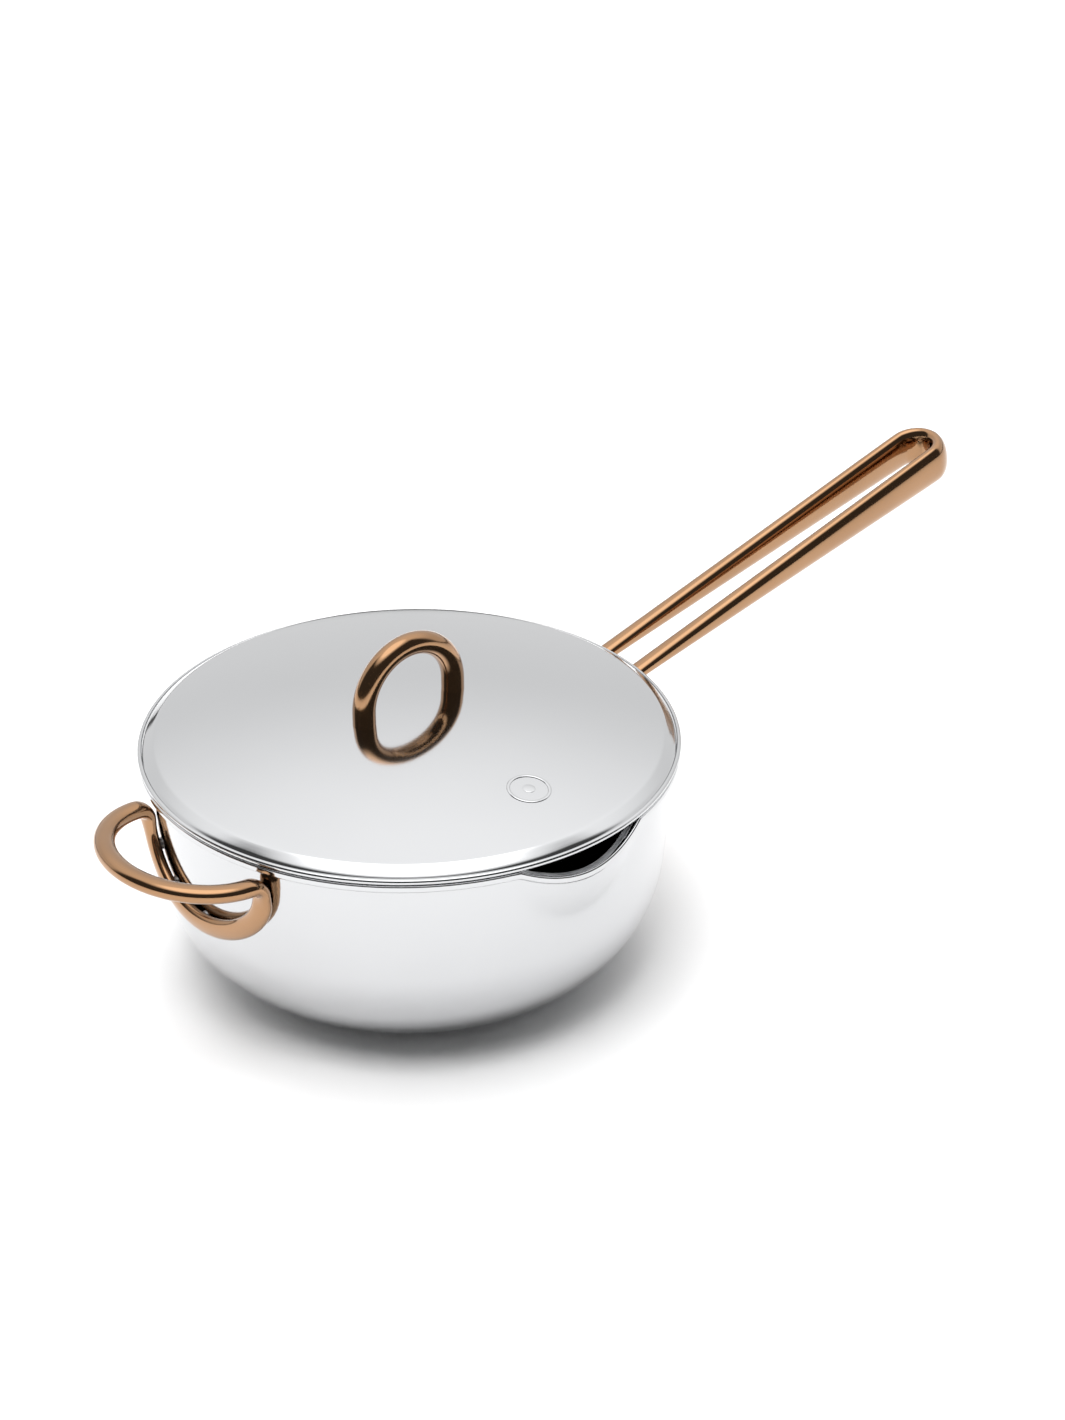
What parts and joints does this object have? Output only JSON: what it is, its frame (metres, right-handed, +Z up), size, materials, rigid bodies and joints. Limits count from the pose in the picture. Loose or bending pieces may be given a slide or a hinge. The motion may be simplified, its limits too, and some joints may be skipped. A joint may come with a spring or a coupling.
{
  "type": "saucepan with lid",
  "caption": "Clad steel saucepan with a pouring spout, a long copper-coloured loop handle, a folded helper handle and a domed steel lid with an arch grip.",
  "frame": {"origin": "centre of the pot's base, on the surface it stands on", "axes": "+Z up, +X out along the long handle, the spout points along -Y"},
  "size_m": [0.4641, 0.2286, 0.1501],
  "materials": {
    "polished_steel": "mirror polished stainless steel",
    "inner_steel": "satin stainless steel",
    "core_aluminium": "bare core, seen only at the rim",
    "copper_coat": "polished stainless steel with a copper-coloured coating",
    "weld_steel": "bare stainless steel"
  },
  "bodies": {
    "pot": {"pot_outer_ply": "polished_steel", "pot_core_ply": "core_aluminium", "pot_inner_ply": "inner_steel", "long_handle": "copper_coat", "long_handle_welds": "weld_steel", "helper_handle": "copper_coat", "helper_handle_welds": "weld_steel"},
    "lid": {"lid_dome": "polished_steel", "lid_handle": "copper_coat", "lid_handle_screws": "weld_steel", "lid_handle_washers": "weld_steel"}
  },
  "joints": [
    {"name": "lid_lift", "type": "slide", "parent": "pot", "child": "lid", "axis": [0, 0, 1], "range_m": [0, 0.12]}
  ]
}
